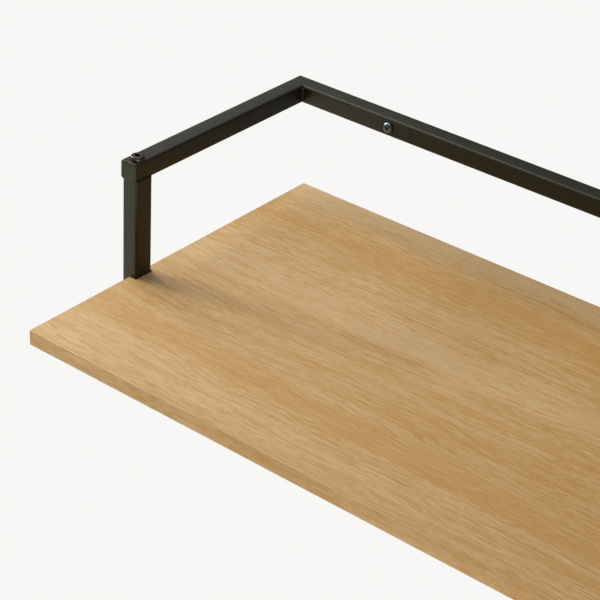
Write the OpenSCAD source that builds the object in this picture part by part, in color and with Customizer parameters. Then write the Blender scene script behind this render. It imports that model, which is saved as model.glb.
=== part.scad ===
// Wall shelf with a guard frame.
// An oak board lies on a closed frame of square tube. At each end a post stands
// in a notch in the board and carries an open frame: a rail with two arms.
// Millimetres. +X runs along the wall, +Y points into it and +Z is up. The
// origin is on the wall, at the middle of the upper rail's back face.

/* [Board] */
// Length of the board, along the wall
board_w = 800; // [400:10:1200]
// Depth of the board, from the wall to its front edge
board_d = 310; // [240:5:450]
// Thickness of the board
board_t = 12; // [9:0.5:30]
// Chamfer along the edges of the board
board_ease = 0.5; // [0.2:0.1:1.5]

/* [Frames] */
// Width and height of the square tube
tube = 15; // [12:0.5:25]
// Wall of the square tube
tube_wall = 1.5; // [1:0.1:2.5]
// Outer corner radius of the square tube
tube_r = 2; // [0.8:0.1:3]
// Width of frame that shows past each end of the board
frame_overhang = 9.8; // [4:0.1:11]
// Reach of the arms, from the wall to their front ends
arm_reach = 207; // [120:1:235]
// Open height between the board and the upper arms
guard_h = 79; // [30:1:300]
// Thickness of the plate that closes the front end of an arm
end_plate_t = 1.5; // [1:0.1:3]
// Radius of the weld bead in an inner corner
weld_r = 2.2; // [1:0.1:4]

/* [Posts] */
// Width of a post, along the wall
post_w = 14; // [12:0.5:17]
// Depth of a post, out from the wall
post_d = 17; // [13:0.5:30]
// Wall of a post's tube
post_wall = 1.5; // [1:0.1:2]
// Outer corner radius of a post
post_r = 2; // [0.8:0.1:3]
// Step from the outer side of an arm in to the outer side of its post
post_inset = 1.8; // [0:0.1:3]
// Gap between a post and the notch that it stands in
notch_gap = 0.5; // [0.2:0.1:2]
// Height of the threaded insert in each end of a post
insert_h = 12; // [8:0.5:15]
// Gap between an insert and the inside of its post
insert_gap = 0.1; // [0.05:0.05:0.3]

/* [Post screws] */
// Thread diameter of a post screw
post_screw_d = 6; // [4:0.5:6]
// Head diameter of a post screw
post_screw_head_d = 10.5; // [8:0.5:13]
// Head height of a post screw
post_screw_head_h = 3.3; // [2.5:0.1:4]
// Width across the flats of its hexagon socket
post_screw_socket = 4; // [2.5:0.5:5]
// Depth of its hexagon socket
post_screw_socket_h = 2.1; // [1:0.1:2.2]
// Length of thread inside a post
post_screw_bite = 15; // [8:0.5:18]

/* [Wall screws] */
// Thread diameter of a wall screw
wall_screw_d = 5; // [4:0.5:6]
// Step from the thread in to the neck that lies inside a rail
wall_screw_step = 0.25; // [0.1:0.05:0.5]
// Head diameter of a wall screw
wall_screw_head_d = 8.5; // [7:0.5:12]
// Head height of a wall screw
wall_screw_head_h = 3.1; // [2.5:0.1:4.5]
// Length of thread past the wall face
wall_screw_free = 5; // [3:0.5:60]
// Distance from the end of a frame to its wall screw
wall_screw_inset = 99; // [75:1:180]

/* [Board screws] */
// Thread diameter of a board screw
board_screw_d = 4; // [3:0.5:5]
// Head diameter of a board screw
board_screw_head_d = 8; // [6.5:0.5:10]
// Head height of a board screw
board_screw_head_h = 2.6; // [2:0.1:3.5]
// Wood left above the tip of a board screw
board_screw_cover = 2; // [1:0.5:4]
// Distance from the end of the board to the first board screw
board_screw_inset = 40; // [25:1:50]

/* [Clearances] */
// Gap round a screw in a plain hole
hole_gap = 0.4; // [0.2:0.05:0.8]
// Gap round a screw in the hole that its thread holds in
thread_gap = 0.05; // [0.02:0.01:0.1]

/* [Hidden] */
$fn = 48;

// Colours of the finishes
OAK = "#cfa671";
POWDER_COAT = "#2d2a20";
ZINC = "#a3a9ad";
BARE_STEEL = "#7f8284";

// Heights: the upper frame is centred on z = 0
board_top = -tube / 2 - guard_h;
board_bottom = board_top - board_t;
lower_z = board_bottom - tube / 2;
post_h = board_top - board_bottom + guard_h;

// Places of the arms, posts and screws on the +X side
frame_w = board_w + 2 * frame_overhang;
arm_x = frame_w / 2 - tube / 2;
arm_inner_x = frame_w / 2 - tube;
bar_y = -arm_reach + tube / 2;
post_x = frame_w / 2 - post_inset - post_w / 2;
post_y = -arm_reach + post_d / 2;
wall_screw_x = frame_w / 2 - wall_screw_inset;
board_screw_x = board_w / 2 - board_screw_inset;

// Length that cuts and mitres run past the pieces that they trim
past = 10;
// Chamfer at the end of a machine screw
screw_tip = 0.5;
// Length of the point of a board screw
screw_point = 3;
// Points on the curve of a screw head
head_steps = 10;

function inner_r(r, wall) = max(r - wall, 0.4);

// Half section of a screw head: a low rim, then a quarter ellipse up to a flat top
function head_outline(d, h, rim, flat) = concat(
    [[d / 2, 0]],
    [for (i = [0:head_steps])
        let (a = 90 * i / head_steps)
        [flat / 2 + (d - flat) / 2 * cos(a), rim + (h - rim) * sin(a)]],
    [[0, h]]
);

// Half sections of screw shanks, from the tip up to the head
function machine_shank(d, l) = [
    [0, -l], [d / 2 - screw_tip, -l], [d / 2, -l + screw_tip], [d / 2, 0]
];
function necked_shank(d, l, step, neck_l) = [
    [0, -l], [d / 2 - screw_tip, -l], [d / 2, -l + screw_tip],
    [d / 2, -neck_l], [d / 2 - step, -neck_l], [d / 2 - step, 0]
];
function wood_shank(d, l) = [[0, -l], [d / 2, -l + screw_point], [d / 2, 0]];

// A rectangle with its corners cut off at 45 degrees
function eased_rect(w, h, ease) = [
    [ease - w / 2, -h / 2], [w / 2 - ease, -h / 2], [w / 2, ease - h / 2], [w / 2, h / 2 - ease],
    [w / 2 - ease, h / 2], [ease - w / 2, h / 2], [-w / 2, h / 2 - ease], [-w / 2, ease - h / 2]
];

module rounded_rect(w, d, r) {
    square([w - 2 * r, d], center = true);
    square([w, d - 2 * r], center = true);
    for (x = [-1, 1], y = [-1, 1])
        translate([x * (w / 2 - r), y * (d / 2 - r)]) circle(r);
}

// A length of hollow section, standing on z = 0
module hollow_section(w, d, wall, r, l) {
    linear_extrude(l) difference() {
        rounded_rect(w, d, r);
        rounded_rect(w - 2 * wall, d - 2 * wall, inner_r(r, wall));
    }
}

module square_tube(l) hollow_section(tube, tube, tube_wall, tube_r, l);

// Holes for the upright screws that pass through a frame centred on height z
module upright_hole(x, y, z, r) {
    translate([x, y, z - tube / 2 - past]) cylinder(h = tube + 2 * past, r = r);
}

// A rail against the wall, mitred at both ends, with its wall screw holes
module rail(z) {
    difference() {
        intersection() {
            translate([-frame_w / 2, -tube / 2, z]) rotate([90, 0, 90]) square_tube(frame_w);
            translate([0, 0, z - tube]) linear_extrude(2 * tube) polygon([
                [-frame_w / 2 - past, past], [frame_w / 2 + past, past],
                [arm_inner_x - past, -tube - past], [past - arm_inner_x, -tube - past]
            ]);
        }
        for (side = [-1, 1])
            translate([side * wall_screw_x, past, z]) rotate([90, 0, 0])
                cylinder(h = tube + 2 * past, r = wall_screw_d / 2 + hole_gap);
    }
}

// The arm on the +X side, mitred to the rail, with the hole for its post screw
module arm(z) {
    difference() {
        intersection() {
            translate([arm_x, 0, z]) rotate([90, 0, 0]) square_tube(arm_reach - end_plate_t);
            translate([0, 0, z - tube]) linear_extrude(2 * tube) polygon([
                [frame_w / 2 + past, past], [frame_w / 2 + past, -arm_reach - past],
                [arm_inner_x - past, -arm_reach - past], [arm_inner_x - past, -tube - past]
            ]);
        }
        upright_hole(post_x, post_y, z, post_screw_d / 2 + hole_gap);
    }
}

// The plate that closes the front end of the arm on the +X side
module end_plate(z) {
    translate([arm_x, -arm_reach + end_plate_t, z]) rotate([90, 0, 0])
        linear_extrude(end_plate_t) rounded_rect(tube, tube, tube_r);
}

// A quarter-round bead that fills the corner at [x, y], on the -X and -Y sides of it
module weld_bead(x, y, z) {
    translate([x, y, z - tube / 2 + tube_r]) intersection() {
        cylinder(h = tube - 2 * tube_r, r = weld_r);
        translate([-past, -past, -past]) cube([past, past, tube + past]);
    }
}

module corner_weld(z) weld_bead(arm_inner_x, -tube, z);

// The bead behind the front bar, where it meets the arm on the +X side
module bar_weld() {
    translate([0, -2 * (arm_reach - tube), 0]) mirror([0, 1, 0])
        weld_bead(arm_inner_x, -(arm_reach - tube), lower_z);
}

module post() {
    translate([post_x, post_y, board_bottom])
        hollow_section(post_w, post_d, post_wall, post_r, post_h);
}

// A threaded block inside the post on the +X side, with its lower face at height z
module insert(z) {
    fit = 2 * (post_wall + insert_gap);
    translate([post_x, post_y, z]) difference() {
        linear_extrude(insert_h)
            rounded_rect(post_w - fit, post_d - fit, inner_r(post_r, post_wall));
        translate([0, 0, -past])
            cylinder(h = insert_h + 2 * past, r = post_screw_d / 2 + thread_gap);
    }
}

// Screws stand with the head up and the underside of the head on z = 0
module post_screw() {
    difference() {
        rotate_extrude() polygon(concat(
            machine_shank(post_screw_d, tube + post_screw_bite),
            head_outline(post_screw_head_d, post_screw_head_h, 0.8, 0.62 * post_screw_head_d)
        ));
        translate([0, 0, post_screw_head_h - post_screw_socket_h])
            cylinder(h = past, d = post_screw_socket / cos(30), $fn = 6);
    }
}

module cross_recess(head_d, head_h) {
    for (turn = [0, 90])
        rotate([0, 0, turn]) translate([-0.27 * head_d, -0.06 * head_d, 0.4 * head_h])
            cube([0.54 * head_d, 0.12 * head_d, past]);
}

module wall_screw() {
    difference() {
        rotate_extrude() polygon(concat(
            necked_shank(wall_screw_d, tube + wall_screw_free, wall_screw_step, tube),
            head_outline(wall_screw_head_d, wall_screw_head_h, 0.7, 0.2 * wall_screw_head_d)
        ));
        cross_recess(wall_screw_head_d, wall_screw_head_h);
    }
}

module board_screw() {
    difference() {
        rotate_extrude() polygon(concat(
            wood_shank(board_screw_d, tube + board_t - board_screw_cover),
            head_outline(board_screw_head_d, board_screw_head_h, 0.5, 0.2 * board_screw_head_d)
        ));
        cross_recess(board_screw_head_d, board_screw_head_h);
    }
}

// The two wall screws of the rail at height z
module wall_screws(z) {
    for (side = [-1, 1])
        translate([side * wall_screw_x, -tube, z]) rotate([90, 0, 0]) wall_screw();
}

// The three board screws of the frame member that runs along y
module board_screws(y) {
    for (side = [-1, 0, 1])
        translate([side * board_screw_x, y, lower_z - tube / 2])
            rotate([180, 0, 0]) board_screw();
}

module board_screw_holes(y, r) {
    for (side = [-1, 0, 1])
        upright_hole(side * board_screw_x, y, lower_z, r);
}

// The notch that the post on the +X side stands in
module notch() {
    translate([post_x - post_w / 2 - notch_gap, post_y - post_d / 2 - notch_gap, board_bottom - past])
        cube([post_w + frame_overhang + past, post_d + 2 * notch_gap, board_t + 2 * past]);
}

// The pilot holes of the board screws that run along y
module pilot_holes(y) {
    for (side = [-1, 0, 1])
        translate([side * board_screw_x, y, board_bottom - past])
            cylinder(h = past + board_t - board_screw_cover, r = board_screw_d / 2 + thread_gap);
}

module shelf_board() {
    color(OAK) difference() {
        translate([0, -board_d / 2, board_top - board_t / 2]) intersection() {
            // the section across the board, with its four edges chamfered
            rotate([90, 0, 90]) linear_extrude(board_w + 2 * past, center = true)
                polygon(eased_rect(board_d, board_t, board_ease));
            // the same chamfers along its two ends, whose slopes run on past its faces
            rotate([90, 0, 0]) linear_extrude(board_d + 2 * past, center = true)
                polygon(eased_rect(board_w, board_t + 2 * past, board_ease + past));
        }
        notch();
        mirror([1, 0, 0]) notch();
        pilot_holes(-tube / 2);
        pilot_holes(bar_y);
    }
}

module upper_rail() color(POWDER_COAT) rail(0);
module upper_arm_right() color(POWDER_COAT) arm(0);
module upper_arm_left() mirror([1, 0, 0]) upper_arm_right();
module upper_end_plate_right() color(POWDER_COAT) end_plate(0);
module upper_end_plate_left() mirror([1, 0, 0]) upper_end_plate_right();
module upper_corner_weld_right() color(POWDER_COAT) corner_weld(0);
module upper_corner_weld_left() mirror([1, 0, 0]) upper_corner_weld_right();

module lower_rail() color(POWDER_COAT) difference() {
    rail(lower_z);
    board_screw_holes(-tube / 2, board_screw_d / 2 + hole_gap);
}
module lower_arm_right() color(POWDER_COAT) arm(lower_z);
module lower_arm_left() mirror([1, 0, 0]) lower_arm_right();
module lower_front_bar() color(POWDER_COAT) difference() {
    translate([-arm_inner_x, bar_y, lower_z]) rotate([90, 0, 90]) square_tube(2 * arm_inner_x);
    board_screw_holes(bar_y, board_screw_d / 2 + hole_gap);
}
module lower_end_plate_right() color(POWDER_COAT) end_plate(lower_z);
module lower_end_plate_left() mirror([1, 0, 0]) lower_end_plate_right();
module lower_corner_weld_right() color(POWDER_COAT) corner_weld(lower_z);
module lower_corner_weld_left() mirror([1, 0, 0]) lower_corner_weld_right();
module lower_bar_weld_right() color(POWDER_COAT) bar_weld();
module lower_bar_weld_left() mirror([1, 0, 0]) lower_bar_weld_right();

module post_right() color(POWDER_COAT) post();
module post_left() mirror([1, 0, 0]) post_right();
module post_top_insert_right() color(BARE_STEEL) insert(board_bottom + post_h - insert_h);
module post_top_insert_left() mirror([1, 0, 0]) post_top_insert_right();
module post_bottom_insert_right() color(BARE_STEEL) insert(board_bottom);
module post_bottom_insert_left() mirror([1, 0, 0]) post_bottom_insert_right();

module post_top_screw_right() {
    color(POWDER_COAT) translate([post_x, post_y, tube / 2]) post_screw();
}
module post_top_screw_left() mirror([1, 0, 0]) post_top_screw_right();
module post_bottom_screw_right() {
    color(POWDER_COAT) translate([post_x, post_y, lower_z - tube / 2])
        rotate([180, 0, 0]) post_screw();
}
module post_bottom_screw_left() mirror([1, 0, 0]) post_bottom_screw_right();

module upper_wall_screws() color(ZINC) wall_screws(0);
module lower_wall_screws() color(ZINC) wall_screws(lower_z);
module rail_board_screws() color(ZINC) board_screws(-tube / 2);
module bar_board_screws() color(ZINC) board_screws(bar_y);

shelf_board();
upper_rail();
upper_arm_left();
upper_arm_right();
upper_end_plate_left();
upper_end_plate_right();
upper_corner_weld_left();
upper_corner_weld_right();
lower_rail();
lower_arm_left();
lower_arm_right();
lower_front_bar();
lower_end_plate_left();
lower_end_plate_right();
lower_corner_weld_left();
lower_corner_weld_right();
lower_bar_weld_left();
lower_bar_weld_right();
post_left();
post_right();
post_top_insert_left();
post_top_insert_right();
post_bottom_insert_left();
post_bottom_insert_right();
post_top_screw_left();
post_top_screw_right();
post_bottom_screw_left();
post_bottom_screw_right();
upper_wall_screws();
lower_wall_screws();
rail_board_screws();
bar_board_screws();
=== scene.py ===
import math

import bpy
import numpy as np
from mathutils import Matrix, Vector


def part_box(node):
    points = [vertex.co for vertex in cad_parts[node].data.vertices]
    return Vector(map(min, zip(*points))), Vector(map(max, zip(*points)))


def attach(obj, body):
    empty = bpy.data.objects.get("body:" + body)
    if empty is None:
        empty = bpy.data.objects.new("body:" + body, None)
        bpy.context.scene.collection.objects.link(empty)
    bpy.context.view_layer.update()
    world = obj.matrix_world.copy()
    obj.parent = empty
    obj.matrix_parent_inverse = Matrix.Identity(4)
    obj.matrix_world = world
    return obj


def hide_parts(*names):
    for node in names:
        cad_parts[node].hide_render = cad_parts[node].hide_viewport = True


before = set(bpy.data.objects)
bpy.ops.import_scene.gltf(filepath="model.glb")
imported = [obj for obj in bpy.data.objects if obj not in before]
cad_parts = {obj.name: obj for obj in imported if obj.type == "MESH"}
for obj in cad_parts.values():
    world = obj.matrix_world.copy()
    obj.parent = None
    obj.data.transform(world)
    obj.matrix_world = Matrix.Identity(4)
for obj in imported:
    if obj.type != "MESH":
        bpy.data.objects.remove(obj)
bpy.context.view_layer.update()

# A wall shelf in metres: +X along the wall, +Y into it, +Z up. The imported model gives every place
# and overall size; what is named here is only the finish of a surface: edges, threads, grain.
MM = 0.001
TUBE_R = 2 * MM          # outer corner radius of the square tube
POST_R = 2 * MM          # outer corner radius of a post
PLATE_EDGE = 1.2 * MM    # radius of the ground edge on an arm's end plate
BOARD_EDGE = 0.3 * MM    # radius of the sanded edges of the board
NOTCH_GAP = 0.5 * MM     # room round a post in its notch
SEAM = 1.3 * MM          # how far a post's faces run on between the rounded edges of the arms it joins
POST_THREAD = 6 * MM     # each screw's thread across its crests, and from one crest to the next
POST_PITCH = 1 * MM
WALL_THREAD = 5 * MM
WALL_PITCH = 0.8 * MM
WOOD_THREAD = 4 * MM
WOOD_PITCH = 1.8 * MM
WOOD_NECK = 12 * MM      # plain neck of a wood screw, and the length of its point
WOOD_POINT = 3 * MM
SOCKET = 4 * MM          # hexagon socket of a post screw, across its flats, and its depth
SOCKET_DEPTH = 2.1 * MM
HEAD_ROUND = 1.3 * MM    # radius of a post screw's rim, and the bevel under its head
HEAD_BEVEL = 0.25 * MM
BEAD_END = 1.2 * MM      # length over which a weld bead draws in at each end
BEAD_TIP = 0.45          # what is left of its radius there, as a share
RIPPLE_PITCH = 1.3 * MM  # from one ripple of a weld bead to the next
RIPPLE_DEPTH = 0.06      # how far the bead sinks between ripples, as a share of its radius


# ---------------------------------------------------------------- meshes

def make_object(name, surfaces, sharp_deg=35):
    """A mesh object at the origin from closed surfaces. Each surface is an array of points and a list of face
    arrays, one array for each number of corners. Faces are smooth except across edges over sharp_deg."""
    first = np.cumsum([0] + [len(points) for points, _ in surfaces])
    blocks = [block + k for (_, faces), k in zip(surfaces, first) for block in faces]
    mesh = bpy.data.meshes.new(name)
    mesh.from_pydata(np.concatenate([points for points, _ in surfaces]), [],
                     [face for block in blocks for face in block.tolist()])
    mesh.polygons.foreach_set("use_smooth", np.ones(len(mesh.polygons), bool))
    mesh.set_sharp_from_angle(angle=math.radians(sharp_deg))
    mesh.update()
    piece = bpy.data.objects.new(name, mesh)
    bpy.context.scene.collection.objects.link(piece)
    return piece


def ring_grid(m, n):
    """Point numbers of m rings of n points, and the quads between each ring and the next, closed round."""
    grid = np.arange(m * n).reshape(m, n)
    a, b = grid[:-1], grid[1:]
    return grid, np.stack([a, np.roll(a, -1, 1), np.roll(b, -1, 1), b], -1).reshape(-1, 4)


def shell(rings):
    """A closed surface through rings, an array of (ring, point, xyz): a grid of quads that closes round each
    ring, with a fan of triangles to the middle of the first and the last ring. It is turned to face outwards
    if the volume that its triangles sweep out from the middle comes out negative."""
    m, n, _ = rings.shape
    grid, quads = ring_grid(m, n)
    first = np.stack([np.roll(grid[0], -1), grid[0], np.full(n, m * n)], -1)
    last = np.stack([grid[-1], np.roll(grid[-1], -1), np.full(n, m * n + 1)], -1)
    points = np.concatenate([rings.reshape(-1, 3), [rings[0].mean(0), rings[-1].mean(0)]])
    triangles = np.concatenate([first, last])
    halves = np.concatenate([quads[:, :3], quads[:, [0, 2, 3]], triangles])
    p, q, r = (points[halves[:, k]] - points.mean(0) for k in range(3))
    if np.einsum("ij,ij->", p, np.cross(q, r)) < 0:
        quads, triangles = quads[:, ::-1], triangles[:, ::-1]
    return points, [quads, triangles]


def rounded_rectangle(width, height, radius, steps=8):
    """Points round a rectangle whose corners are quarter circles, centred on the origin."""
    turn = np.radians(np.arange(4)[:, None] * 90 + np.linspace(0, 90, steps + 1)).ravel()
    corner = np.repeat([[1, 1], [-1, 1], [-1, -1], [1, -1]], steps + 1, 0)
    middle = corner * [width / 2 - radius, height / 2 - radius]
    return middle + radius * np.stack([np.cos(turn), np.sin(turn)], 1)


def extent(node):
    """A CAD node's lowest and highest corners, as arrays."""
    low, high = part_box(node)
    return np.array(low), np.array(high)


def bar(name, node, along, radius, slide_start=None, slide_end=None, cuts=9):
    """The rounded section of a CAD tube carried in a straight line over its box. The two ends are slid along
    the bar by functions of the place across it, which is how a mitre is cut."""
    low, high = extent(node)
    across = [k for k in range(3) if k != along]
    size = high - low
    section = rounded_rectangle(size[across[0]], size[across[1]], radius)
    place = np.zeros((len(section), 3))
    place[:, across] = section + ((low + high) / 2)[across]
    start = low[along] + (slide_start(place) if slide_start else 0)
    end = high[along] - (slide_end(place) if slide_end else 0)
    share = np.linspace(0, 1, cuts)[:, None]
    rings = np.repeat(place[None], cuts, 0)
    rings[:, :, along] = start * (1 - share) + end * share
    return make_object(name, [shell(rings)])


def rail(name, node):
    """A bar along the wall whose two ends are mitred at 45 degrees, longest at the wall."""
    def back_off(place):
        return -place[:, 1]
    return bar(name, node, 0, TUBE_R, back_off, back_off)


def arm(name, node):
    """A bar out from the wall, mitred at 45 degrees where it meets the rail, longest on its outer side."""
    low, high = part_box(node)
    outer = low.x if low.x < 0 else high.x
    return bar(name, node, 1, TUBE_R, None, lambda place: abs(place[:, 0] - outer))


def post(name, node):
    """An upright bar whose faces run on a little at both ends, between the rounded edges of the arms."""
    def run_on(place):
        return -SEAM
    return bar(name, node, 2, POST_R, run_on, run_on)


def end_plate(name, node):
    """The tube's outline carried forward over the plate, and drawn in along a quarter circle at the front."""
    low, high = extent(node)
    size = high - low
    bend = np.radians(np.linspace(0, 90, 9))
    inset = np.concatenate([[0], PLATE_EDGE * (1 - np.cos(bend))])
    y = np.concatenate([[high[1]], low[1] + PLATE_EDGE * (1 - np.sin(bend))])
    rings = []
    for shrink, depth in zip(inset, y):
        outline = rounded_rectangle(size[0] - 2 * shrink, size[2] - 2 * shrink, TUBE_R - shrink)
        x, z = (outline + ((low + high) / 2)[[0, 2]]).T
        rings.append(np.stack([x, np.full_like(x, depth), z], 1))
    return make_object(name, [shell(np.array(rings))])


def weld_bead(name, node, corner, cuts=61):
    """A quarter round standing in an inner corner. Its radius swells and sinks along the seam in ripples, one
    for each dab of the torch, and draws in at both ends along an ellipse."""
    low, high = extent(node)
    reach = (high - low)[:2]
    side = np.where(np.abs(low[:2] - corner) < np.abs(high[:2] - corner), 1, -1)
    height = np.linspace(low[2], high[2], cuts)
    end = np.clip(np.minimum(height - low[2], high[2] - height) / BEAD_END, 0, 1)
    taper = BEAD_TIP + (1 - BEAD_TIP) * np.sqrt(1 - (1 - end) ** 2)
    ripple = 1 - RIPPLE_DEPTH * (1 - np.abs(np.sin(math.pi * height / RIPPLE_PITCH)))
    turn = np.radians(np.linspace(0, 90, 13))
    bulge = (taper * ripple)[:, None]
    x = corner[0] + side[0] * reach[0] * bulge * np.cos(turn)
    y = corner[1] + side[1] * reach[1] * bulge * np.sin(turn)
    x = np.concatenate([x, np.full((cuts, 1), corner[0])], 1)
    y = np.concatenate([y, np.full((cuts, 1), corner[1])], 1)
    z = np.broadcast_to(height[:, None], x.shape)
    return make_object(name, [shell(np.stack([x, y, z], -1))], 60)


def board(name, node, right_post):
    """The outline of the board with a notch in each end, the left one the mirror image of the one round the
    right post. Taken at twelve heights, it is drawn in along a quarter circle at the bottom and the top."""
    low, high = extent(node)
    post_low, post_high = extent(right_post)
    end, notch_end = high[0], post_low[0] - NOTCH_GAP
    front, back = post_low[1] - NOTCH_GAP, post_high[1] + NOTCH_GAP
    right = [(end, low[1]), (end, front), (notch_end, front), (notch_end, back), (end, back), (end, high[1])]
    left = [(-x, y) for x, y in right[::-1]]
    outline = np.array(right + left)
    before, after = np.sign(outline - np.roll(outline, 1, 0)), np.sign(np.roll(outline, -1, 0) - outline)
    inward = (before + after)[:, ::-1] * [-1, 1]
    bend = np.radians(np.linspace(0, 90, 6))
    inset = BOARD_EDGE * (1 - np.sin(bend))
    rise = BOARD_EDGE * (1 - np.cos(bend))
    inset = np.concatenate([inset, inset[::-1]])
    z = np.concatenate([low[2] + rise, high[2] - rise[::-1]])
    rings = [np.column_stack([outline + inward * d, np.full(len(outline), h)]) for d, h in zip(inset, z)]
    grid, walls = ring_grid(len(rings), len(outline))
    flats = np.stack([grid[0, ::-1], grid[-1]])
    return make_object(name, [(np.concatenate(rings), [walls, flats])], 60)


# ---------------------------------------------------------------- screws

def hexagon(turn, across_flats):
    """Distance from the middle to the side of a hexagon, at each angle."""
    return across_flats / 2 / np.cos((turn + math.pi / 6) % (math.pi / 3) - math.pi / 6)


def thread(turn, length, core, crest, pitch, start):
    """Rings of a threaded shank from z = -start down to -length, six to a pitch. The radius rises and falls
    as a triangle wave of the height plus the share of a turn, so the crest climbs one pitch in each turn. The
    wave fades out over one pitch at both ends."""
    z = -np.arange(start, length, pitch / 6)
    wave = np.abs(((z[:, None] / pitch + turn / (2 * math.pi)) % 1) * 2 - 1)
    fade = np.clip(np.minimum(-z - start, length + z) / pitch, 0, 1)[:, None]
    return core + (crest - core) * wave * fade, z


def screw(origin, up, radius, height):
    """A screw's surface from a grid (ring, angle) of radii and heights, at origin, its head towards up."""
    turn = np.linspace(0, 2 * math.pi, radius.shape[1], endpoint=False)
    height = np.broadcast_to(height, radius.shape)
    local = np.stack([radius * np.cos(turn), radius * np.sin(turn), height], -1)
    axes = np.array(Vector(up).to_track_quat("Z", "X").to_matrix())
    return shell(local @ axes.T + np.array(origin))


def socket_screw(origin, up, head_d, head_h, length, segments=72):
    """A low round head with a rounded rim and a flat top, a hexagon socket with a drilled floor, and a
    thread. The rings of (radius, height) run up out of the socket, over the rim and down the shank."""
    turn = np.linspace(0, 2 * math.pi, segments, endpoint=False)
    circle = np.ones(segments)
    socket = hexagon(turn, SOCKET)
    mouth = SOCKET / 2 / math.cos(math.pi / 6) + 0.05 * MM
    floor = head_h - SOCKET_DEPTH
    rings = [(0.35 * socket, floor - 0.4 * MM), (0.98 * socket, floor), (socket, floor + 0.1 * MM),
             (socket, head_h - 0.15 * MM), (mouth * circle, head_h)]
    for bend in np.radians(np.linspace(0, 90, 10)):
        radius = head_d / 2 - HEAD_ROUND * (1 - math.sin(bend))
        rings.append((radius * circle, head_h - HEAD_ROUND * (1 - math.cos(bend))))
    rings += [(head_d / 2 * circle, HEAD_BEVEL), ((head_d / 2 - HEAD_BEVEL) * circle, 0.0)]
    shank, z = thread(turn, length, 0.43 * POST_THREAD, 0.5 * POST_THREAD, POST_PITCH, 0.5 * MM)
    radius = np.concatenate([[r for r, _ in rings], shank])
    height = np.concatenate([[h for _, h in rings], z])
    return screw(origin, up, radius, height[:, None])


def cross_recess(x, y, head_d, depth):
    """Depth of a cross recess at each place on a head: two crossed slots whose walls slope and whose ends are
    narrower than their middle."""
    reach, width = 0.28 * head_d, 0.075 * head_d
    wall, run_out = 0.035 * head_d, 0.10 * head_d

    def slot(along, across):
        half = width * (1 - 0.35 * np.clip(np.abs(along) / reach, 0, 1))
        side = np.clip((half - np.abs(across)) / wall, 0, 1)
        end = np.clip((reach - np.abs(along)) / run_out, 0, 1)
        return side * end
    return depth * np.maximum(slot(x, y), slot(y, x))


def pan_screw(origin, up, head_d, head_h, thread_d, length, start, pitch, point=0.0, segments=120):
    """A head domed as a quarter of an ellipse over a low rim, with a cross recess. Under it a plain neck runs
    to start and a thread to length. If the screw has a point, its last stretch is a cone instead."""
    turn = np.linspace(0, 2 * math.pi, segments, endpoint=False)
    circle = np.ones(segments)
    rim, depth = 0.19 * head_h, 0.62 * head_h
    bend = np.linspace(0.02, 1, 44)[:, None] * math.pi / 2
    dome_r = head_d / 2 * np.sin(bend) * circle
    recess = cross_recess(dome_r * np.cos(turn), dome_r * np.sin(turn), head_d, depth)
    dome_z = rim + (head_h - rim) * np.cos(bend) - recess
    core, neck = 0.41 * thread_d, 0.45 * thread_d
    shank, z = thread(turn, length - point, core, 0.5 * thread_d, pitch, start)
    radius = np.concatenate([dome_r, np.outer([head_d / 2, neck, neck], circle), shank])
    height = np.concatenate([dome_z, np.outer(np.concatenate([[0, 0, 0.05 * MM - start], z]), circle)])
    if point:
        tip = np.linspace(0, 0.97, 8)
        radius = np.concatenate([radius, np.outer(core * (1 - tip), circle)])
        height = np.concatenate([height, np.outer(point - length - point * tip, circle)])
    return screw(origin, up, radius, height)


# ---------------------------------------------------------------- nodes

def linear(colour):
    """An sRGB hex colour as linear red, green, blue and alpha."""
    srgb = np.array([int(colour[k:k + 2], 16) / 255 for k in (1, 3, 5)])
    return (*np.where(srgb <= 0.04045, srgb / 12.92, ((srgb + 0.055) / 1.055) ** 2.4), 1.0)


def add(tree, kind, settings=None, **inputs):
    """One node with its settings and its inputs, by socket name or number: values are set, sockets linked."""
    node = tree.nodes.new(kind)
    for key, value in (settings or {}).items():
        setattr(node, key, value)
    for key, value in inputs.items():
        socket = node.inputs[int(key[1:]) if key[0] == "_" and key[1:].isdigit() else key.replace("_", " ")]
        if isinstance(value, bpy.types.NodeSocket):
            tree.links.new(value, socket)
        else:
            socket.default_value = value
    return node


def new_material(name):
    """A material with an empty node tree and an output node."""
    material = bpy.data.materials.new(name)
    material.use_nodes = True
    tree = material.node_tree
    tree.nodes.clear()
    return material, tree, tree.nodes.new("ShaderNodeOutputMaterial")


def powder_coat():
    """Polyester powder coat, sprayed and baked: satin, near black and olive, with a faint orange peel."""
    material, tree, out = new_material("satin_powder_coat")
    place = add(tree, "ShaderNodeTexCoord").outputs["Object"]
    peel = add(tree, "ShaderNodeTexNoise", Vector=place, Scale=1 / (1.6 * MM), Detail=1.0)
    speck = add(tree, "ShaderNodeTexNoise", Vector=place, Scale=1 / (0.5 * MM), Detail=2.0)
    height = add(tree, "ShaderNodeMath", {"operation": "ADD"}, _0=peel.outputs["Fac"],
                 _1=speck.outputs["Fac"])
    bump = add(tree, "ShaderNodeBump", Height=height.outputs[0], Strength=0.12, Distance=0.05 * MM)
    tone = add(tree, "ShaderNodeMix", {"data_type": "RGBA"}, _0=speck.outputs["Fac"],
               _6=linear("#1a180f"), _7=linear("#1e1b12"))
    gloss = add(tree, "ShaderNodeMapRange", Value=speck.outputs["Fac"], To_Min=0.42, To_Max=0.52)
    shader = add(tree, "ShaderNodeBsdfPrincipled", Base_Color=tone.outputs[2], Roughness=gloss.outputs[0],
                 Normal=bump.outputs[0], IOR=1.47, Specular_Tint=(1.0, 1.0, 0.78, 1.0))
    tree.links.new(shader.outputs[0], out.inputs["Surface"])
    return material


def cells(along, across):
    """Mapping scale that makes a pattern's cells this many millimetres along the grain and across it."""
    return (1 / (along * MM), 1 / (across * MM), 1 / (across * MM))


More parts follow.
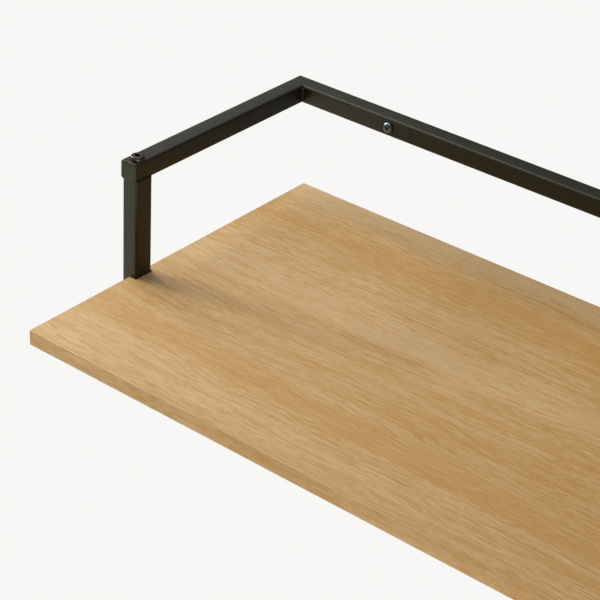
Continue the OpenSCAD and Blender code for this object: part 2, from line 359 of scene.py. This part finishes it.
# The oak's figure, in millimetres from the middle of the wall edge. Knots: x, y, half length, half width and
# darkness. Streaks along the grain: y, half width, softness and tone.
KNOTS = ((-117, -226, 5.0, 3.0, 0.55), (-270, -218, 2.6, 1.5, 0.40), (-190, -261, 2.8, 1.6, 0.45),
         (-13, -183, 3.4, 2.2, 0.55), (212, -96, 4.2, 2.6, 0.50))
# The browner streak at y -181 is partly the wood's own figure and partly painted shadow: it deepens the shade
# that the left post casts along the board.
STREAKS = ((-250, 13, 7, -0.22), (-58, 17, 8, -0.20), (-54, 5, 4, -0.20), (-136, 17, 6, 0.30),
           (-283, 16, 9, 0.10), (-2, 22, 10, 0.55), (-309, 3, 3, -0.16), (-104, 9, 6, 0.10),
           (-181, 5, 4, -0.12))
# Growth in the wood, from the finest to the broadest: millimetres along and across, and how much it shows.
GROWTH = ((12, 0.5, 0.50), (55, 0.95, 0.48), (120, 3.2, 0.10), (260, 12, 0.15))
RING_PITCH = 3.6 * MM    # from one growth ring to the next on the sawn ends


def oak_knots(tree, place, grain):
    """Dark ovals, with the grain pushed aside round each of them. Gives back the grain and the darkness."""
    knots = 0.0
    for x, y, length, width, dark in KNOTS:
        size = (length * MM, width * MM, 40 * MM)
        near = add(tree, "ShaderNodeMapping", Vector=place, Scale=[1 / k for k in size],
                   Location=(-x * MM / size[0], -y * MM / size[1], 0.0))
        away = add(tree, "ShaderNodeVectorMath", {"operation": "LENGTH"}, _0=near.outputs[0])
        reach = away.outputs["Value"]
        bend = add(tree, "ShaderNodeMapRange", {"interpolation_type": "SMOOTHSTEP"}, Value=reach,
                   From_Min=0.8, From_Max=6.0, To_Min=-0.75 * size[1], To_Max=0.0)
        push = add(tree, "ShaderNodeVectorMath", {"operation": "SCALE"}, _0=near.outputs[0],
                   Scale=bend.outputs[0])
        grain = add(tree, "ShaderNodeVectorMath", {"operation": "MULTIPLY_ADD"}, _0=push.outputs[0],
                    _1=(0.0, 1.0, 0.0), _2=grain).outputs[0]
        core = add(tree, "ShaderNodeMapRange", {"interpolation_type": "SMOOTHSTEP"}, Value=reach,
                   From_Min=0.2, From_Max=1.5, To_Min=dark, To_Max=0.0)
        knots = add(tree, "ShaderNodeMath", {"operation": "ADD"}, _0=core.outputs[0], _1=knots).outputs[0]
    return grain, knots


def oak_streaks(tree, across, tone):
    """Bands along the grain that are paler or browner than the rest, each with soft edges."""
    for y, half, soft, change in STREAKS:
        away = add(tree, "ShaderNodeMath", {"operation": "SUBTRACT"}, _0=across, _1=y * MM)
        apart = add(tree, "ShaderNodeMath", {"operation": "ABSOLUTE"}, _0=away.outputs[0])
        band = add(tree, "ShaderNodeMapRange", {"interpolation_type": "SMOOTHSTEP"}, Value=apart.outputs[0],
                   From_Min=(half - soft) * MM, From_Max=(half + soft) * MM, To_Min=change, To_Max=0.0)
        tone = add(tree, "ShaderNodeMath", {"operation": "ADD"}, _0=tone, _1=band.outputs[0]).outputs[0]
    return tone


def oak_growth(tree, grain, tone):
    """Lines along the grain in four sizes, each a noise that steps smoothly from darker to paler."""
    for along, across, weight in GROWTH:
        stretch = add(tree, "ShaderNodeMapping", Vector=grain, Scale=cells(along, across))
        lines = add(tree, "ShaderNodeTexNoise", {"normalize": False}, Vector=stretch.outputs[0], Scale=1.0,
                    Detail=1.0, Roughness=0.5)
        step = add(tree, "ShaderNodeMapRange", {"interpolation_type": "SMOOTHSTEP"},
                   Value=lines.outputs["Fac"], From_Min=-0.3, From_Max=0.15, To_Min=-0.65 * weight,
                   To_Max=0.35 * weight)
        tone = add(tree, "ShaderNodeMath", {"operation": "ADD"}, _0=tone, _1=step.outputs[0]).outputs[0]
    return tone


def oak_rings(tree, grain, normal):
    """Growth rings round a heart below the board: plain on the sawn ends and faint elsewhere."""
    heart = add(tree, "ShaderNodeMapping", Vector=grain, Location=(0.0, 0.12, 0.4))
    rings = add(tree, "ShaderNodeTexWave",
                {"wave_type": "RINGS", "rings_direction": "X", "wave_profile": "SAW"},
                Vector=heart.outputs[0], Scale=math.pi / (10 * RING_PITCH), Distortion=1.2, Detail=2.0,
                Detail_Scale=0.4)
    side = add(tree, "ShaderNodeSeparateXYZ", Vector=normal)
    facing = add(tree, "ShaderNodeMath", {"operation": "ABSOLUTE"}, _0=side.outputs["X"])
    sawn = add(tree, "ShaderNodeMapRange", Value=facing.outputs[0], From_Min=0.6, From_Max=0.8, To_Min=0.04,
               To_Max=0.30)
    return add(tree, "ShaderNodeMath", {"operation": "MULTIPLY"}, _0=rings.outputs["Fac"],
               _1=sawn.outputs[0]).outputs[0]


def oak_pores(tree, grain):
    """Short dark pores, a few millimetres long. Real ones are too thin to show, so these are drawn wider."""
    short = add(tree, "ShaderNodeMapping", Vector=grain, Scale=cells(6, 0.7))
    pits = add(tree, "ShaderNodeTexNoise", Vector=short.outputs[0], Scale=1.0, Detail=0.0)
    return add(tree, "ShaderNodeMapRange", {"interpolation_type": "SMOOTHSTEP"}, Value=pits.outputs["Fac"],
               From_Min=0.60, From_Max=0.72, To_Min=0.0, To_Max=0.30).outputs[0]


def oak():
    """Oak planks sanded with the grain and oiled matt: straight tan grain with short dark pores, paler and
    browner streaks, a few small knots that the grain runs round, and ring lines on the sawn ends. One browner
    streak is partly painted shadow that deepens the shade the left post casts. The whole board is painted a
    little paler towards its left end: painted light, for the stronger light that falls there."""
    material, tree, out = new_material("matt_oiled_oak")
    space = add(tree, "ShaderNodeTexCoord")
    place = space.outputs["Object"]
    slow = add(tree, "ShaderNodeMapping", Vector=place, Scale=cells(260, 60))
    drift = add(tree, "ShaderNodeTexNoise", {"normalize": False}, Vector=slow.outputs[0], Scale=1.0,
                Detail=1.5)
    grain = add(tree, "ShaderNodeVectorMath", {"operation": "MULTIPLY_ADD"}, _0=drift.outputs["Color"],
                _1=(0.0, 9 * MM, 5 * MM), _2=place).outputs[0]
    grain, knots = oak_knots(tree, place, grain)
    split = add(tree, "ShaderNodeSeparateXYZ", Vector=grain)
    # Painted light: the board's colour is made paler towards its left end, where more light falls, and
    # browner towards its right end.
    tone = add(tree, "ShaderNodeMapRange", Value=split.outputs["X"], From_Min=-0.4, From_Max=0.1,
               To_Min=0.62, To_Max=0.38).outputs[0]
    tone = oak_streaks(tree, split.outputs["Y"], tone)
    tone = oak_growth(tree, grain, tone)
    for darker in (oak_rings(tree, grain, space.outputs["Normal"]), oak_pores(tree, grain)):
        tone = add(tree, "ShaderNodeMath", {"operation": "SUBTRACT"}, _0=tone, _1=darker).outputs[0]
    tone = add(tree, "ShaderNodeMath", {"operation": "SUBTRACT", "use_clamp": True}, _0=tone,
               _1=knots).outputs[0]
    colour = add(tree, "ShaderNodeMix", {"data_type": "RGBA"}, _0=tone, _6=linear("#b68842"),
                 _7=linear("#cead7d"))
    gloss = add(tree, "ShaderNodeMapRange", Value=tone, To_Min=0.54, To_Max=0.40)
    bump = add(tree, "ShaderNodeBump", Height=tone, Strength=0.25, Distance=0.12 * MM)
    shader = add(tree, "ShaderNodeBsdfPrincipled", Base_Color=colour.outputs[2], Roughness=gloss.outputs[0],
                 Normal=bump.outputs[0], IOR=1.6)
    tree.links.new(shader.outputs[0], out.inputs["Surface"])
    return material


def metal(name, grain_size, detail, gloss_range, dark, pale=None):
    """A bare or plated metal whose gloss varies in a fine haze with cells grain_size wide, coarser than the
    real one so that it shows. The tone follows the haze from dark to pale, or is even if there is no pale."""
    material, tree, out = new_material(name)
    place = add(tree, "ShaderNodeTexCoord").outputs["Object"]
    haze = add(tree, "ShaderNodeTexNoise", Vector=place, Scale=1 / grain_size, Detail=detail).outputs["Fac"]
    gloss = add(tree, "ShaderNodeMapRange", Value=haze, To_Min=gloss_range[0], To_Max=gloss_range[1])
    tone = linear(dark)
    if pale:
        tone = add(tree, "ShaderNodeMix", {"data_type": "RGBA"}, _0=haze, _6=tone, _7=linear(pale)).outputs[2]
    shader = add(tree, "ShaderNodeBsdfPrincipled", Base_Color=tone, Metallic=1.0, Roughness=gloss.outputs[0])
    tree.links.new(shader.outputs[0], out.inputs["Surface"])
    return material


def zinc_plate():
    """Zinc plate over steel, dipped bright: bluish white metal with a fine crystalline haze."""
    return metal("bright_zinc_plate", 0.6 * MM, 3.0, (0.20, 0.36), "#6f777c", "#858c90")


def black_plate():
    """Steel screws plated satin black: a dark grey metal with a soft shine."""
    return metal("satin_black_plate", 0.7 * MM, 2.0, (0.26, 0.42), "#45423a", "#524f46")


def turned_steel():
    """Mild steel turned on a lathe and left bare: an even grey metal with a soft shine."""
    return metal("turned_steel", 0.4 * MM, 2.0, (0.30, 0.45), "#9a9c9e")


# ---------------------------------------------------------------- pieces

def place_piece(piece, material, slot, *nodes):
    """Give a piece its material, fix it to the body and hide the CAD nodes that it stands for."""
    piece.data.materials.append(material)
    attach(piece, "root")
    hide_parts(*nodes)


coat, wood, zinc, black, steel = powder_coat(), oak(), zinc_plate(), black_plate(), turned_steel()

place_piece(board("oak_board", "shelf_board", "post_right"), wood, "oak", "shelf_board")
for level in ("upper", "lower"):
    rail_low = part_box(f"{level}_rail")[0]
    place_piece(rail(f"{level}_rail_tube", f"{level}_rail"), coat, "frame_coat", f"{level}_rail")
    for side in ("left", "right"):
        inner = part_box(f"{level}_arm_{side}")[1 if side == "left" else 0].x
        place_piece(arm(f"{level}_arm_tube_{side}", f"{level}_arm_{side}"), coat, "frame_coat",
                    f"{level}_arm_{side}")
        place_piece(end_plate(f"{level}_arm_end_{side}", f"{level}_end_plate_{side}"), coat, "frame_coat",
                    f"{level}_end_plate_{side}")
        bead = weld_bead(f"{level}_corner_bead_{side}", f"{level}_corner_weld_{side}", (inner, rail_low.y))
        place_piece(bead, coat, "frame_coat", f"{level}_corner_weld_{side}")

bar_low, bar_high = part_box("lower_front_bar")
place_piece(bar("lower_bar_tube", "lower_front_bar", 0, TUBE_R), coat, "frame_coat", "lower_front_bar")
for side in ("left", "right"):
    inner = bar_low.x if side == "left" else bar_high.x
    bead = weld_bead(f"bar_bead_{side}", f"lower_bar_weld_{side}", (inner, bar_high.y))
    place_piece(bead, coat, "frame_coat", f"lower_bar_weld_{side}")
    place_piece(post(f"post_tube_{side}", f"post_{side}"), coat, "frame_coat", f"post_{side}")
    for level, up in (("top", (0, 0, 1)), ("bottom", (0, 0, -1))):
        node = f"post_{level}_screw_{side}"
        low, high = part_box(node)
        head = "upper" if level == "top" else "lower"
        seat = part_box(f"{head}_arm_{side}")[1 if level == "top" else 0].z
        middle = (low + high) / 2
        proud = abs((high.z if level == "top" else low.z) - seat)
        bolt = socket_screw((middle.x, middle.y, seat), up, high.x - low.x, proud, high.z - low.z - proud)
        place_piece(make_object(f"post_{level}_bolt_{side}", [bolt], 40), black, "coated_screw", node)
        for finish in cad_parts[f"post_{level}_insert_{side}"].material_slots:
            finish.material = steel

for level in ("upper", "lower"):
    node = f"{level}_wall_screws"
    low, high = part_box(node)
    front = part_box(f"{level}_rail")[0].y
    head_d = high.z - low.z
    parts = [pan_screw((x, front, (low.z + high.z) / 2), (0, -1, 0), head_d, front - low.y, WALL_THREAD,
                       high.y - front, -front, WALL_PITCH) for x in (low.x + head_d / 2, high.x - head_d / 2)]
    place_piece(make_object(f"{level}_wall_bolts", parts, 40), zinc, "zinc_plate", node)

for where in ("rail", "bar"):
    node = f"{where}_board_screws"
    low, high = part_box(node)
    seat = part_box("lower_front_bar")[0].z
    head_d = high.y - low.y
    parts = [pan_screw((x, (low.y + high.y) / 2, seat), (0, 0, -1), head_d, seat - low.z, WOOD_THREAD,
                       high.z - seat, WOOD_NECK, WOOD_PITCH, WOOD_POINT)
             for x in (low.x + head_d / 2, 0, high.x - head_d / 2)]
    place_piece(make_object(f"{where}_wood_screws", parts, 40), zinc, "zinc_plate", node)


# ---------------------------------------------------------------- studio

scene = bpy.context.scene
scene.view_settings.view_transform = "Standard"
PALE = linear("#f8f7f5")
EYE = (0.40266, -1.06533, 0.61262)
LOOK = (36.87, 31.32, 3.47)          # azimuth, elevation and roll in degrees
LENS = 109.9
AIM = Vector((-0.1, -0.15, -0.05))   # the place that every soft light faces
FLOOR_Z = -1.3
CARD_SIZE, CARD_RISE = 3.6, 0.02     # a bounce card, and its height over the floor
SOFT_SIZE = (1.1, 0.9)               # width and height of the large soft lights


def camera():
    """A long lens in front of the shelf, above it and to its right, turned a little about its own axis."""
    azimuth, elevation, roll = (math.radians(angle) for angle in LOOK)
    ahead = Vector((-math.sin(azimuth) * math.cos(elevation), math.cos(azimuth) * math.cos(elevation),
                    -math.sin(elevation)))
    level = Vector((math.cos(azimuth), math.sin(azimuth), 0))
    over = level.cross(ahead)
    right = math.cos(roll) * level + math.sin(roll) * over
    up = math.cos(roll) * over - math.sin(roll) * level
    data = bpy.data.cameras.new("camera")
    data.lens, data.sensor_width = LENS, 36
    data.clip_start, data.clip_end = 0.05, 50
    eye = bpy.data.objects.new("camera", data)
    turn = Matrix((right, up, -ahead)).transposed().to_4x4()
    eye.matrix_world = Matrix.Translation(EYE) @ turn
    scene.collection.objects.link(eye)
    scene.camera = eye


def softbox(name, azimuth, elevation, distance, size, power, colour=(1.0, 1.0, 1.0)):
    """A soft rectangular light that faces the shelf, from an azimuth counted from +X and an elevation."""
    turn, rise = math.radians(azimuth), math.radians(elevation)
    out = Vector((math.cos(turn) * math.cos(rise), math.sin(turn) * math.cos(rise), math.sin(rise)))
    data = bpy.data.lights.new(name, "AREA")
    data.shape, data.size, data.size_y, data.energy = "RECTANGLE", size[0], size[1], power
    data.color = colour
    lamp = bpy.data.objects.new(name, data)
    lamp.location = AIM + out * distance
    lamp.rotation_euler = (-out).to_track_quat("-Z", "Y").to_euler()
    lamp.visible_camera = False
    scene.collection.objects.link(lamp)


def bounce_card(name, x, y, power):
    """A wide white card lying low in front of the shelf, glowing upwards."""
    data = bpy.data.lights.new(name, "AREA")
    data.shape, data.size, data.energy = "SQUARE", CARD_SIZE, power
    lamp = bpy.data.objects.new(name, data)
    lamp.location = (x, y, FLOOR_Z + CARD_RISE)
    lamp.rotation_euler = (math.pi, 0, 0)
    lamp.visible_camera = False
    scene.collection.objects.link(lamp)


def surroundings(room_strength):
    """A pale room: one even tone to the eye, and a dimmer one as the light that falls on things."""
    world = bpy.data.worlds.new("pale_room")
    scene.world = world
    world.use_nodes = True
    tree = world.node_tree
    tree.nodes.clear()
    path = add(tree, "ShaderNodeLightPath")
    seen = add(tree, "ShaderNodeBackground", Color=PALE, Strength=1.0)
    light = add(tree, "ShaderNodeBackground", Color=PALE, Strength=room_strength)
    mix = add(tree, "ShaderNodeMixShader", _0=path.outputs["Is Camera Ray"], _1=light.outputs[0],
              _2=seen.outputs[0])
    out = tree.nodes.new("ShaderNodeOutputWorld")
    tree.links.new(mix.outputs[0], out.inputs["Surface"])


def floor():
    """A wide pale floor, one-sided, so that the shelf can be looked at from below."""
    half = 12.0
    points = [(x, y, FLOOR_Z) for x, y in ((-half, -half), (half, -half), (half, half), (-half, half))]
    piece = make_object("floor", [(np.array(points), [np.array([[0, 1, 2, 3]])])])
    material, tree, out = new_material("pale_floor")
    path = add(tree, "ShaderNodeLightPath")
    side = add(tree, "ShaderNodeNewGeometry")
    seen = add(tree, "ShaderNodeEmission", Color=PALE, Strength=1.0)
    matt = add(tree, "ShaderNodeBsdfDiffuse", Color=linear("#e8e6e2"))
    clear = add(tree, "ShaderNodeBsdfTransparent")
    top = add(tree, "ShaderNodeMixShader", _0=path.outputs["Is Camera Ray"], _1=matt.outputs[0],
              _2=seen.outputs[0])
    both = add(tree, "ShaderNodeMixShader", _0=side.outputs["Backfacing"], _1=top.outputs[0],
               _2=clear.outputs[0])
    tree.links.new(both.outputs[0], out.inputs["Surface"])
    piece.data.materials.append(material)


camera()
surroundings(room_strength=0.18)
floor()
softbox("left_low", 180, 8, 2.0, SOFT_SIZE, 8)
softbox("left_middle", 180, 28, 2.0, SOFT_SIZE, 16)
softbox("left_high", 180, 55, 2.0, SOFT_SIZE, 14)
softbox("front_left_low", 225, 8, 2.0, SOFT_SIZE, 2)
softbox("overhead", 0, 89.9, 2.0, (1.2, 1.2), 9)
softbox("left_strip", 190, 20, 3.0, (0.25, 0.4), 19)
softbox("near_back", 140, 26, 1.3, (0.5, 0.5), 0.4)
softbox("near_card", 221, -24, 1.24, (0.5, 0.5), 1.0, (1.0, 0.84, 0.58))
bounce_card("left_card", -2.2, -2.2, 10)
bounce_card("right_card", 2.2, -2.2, 180)
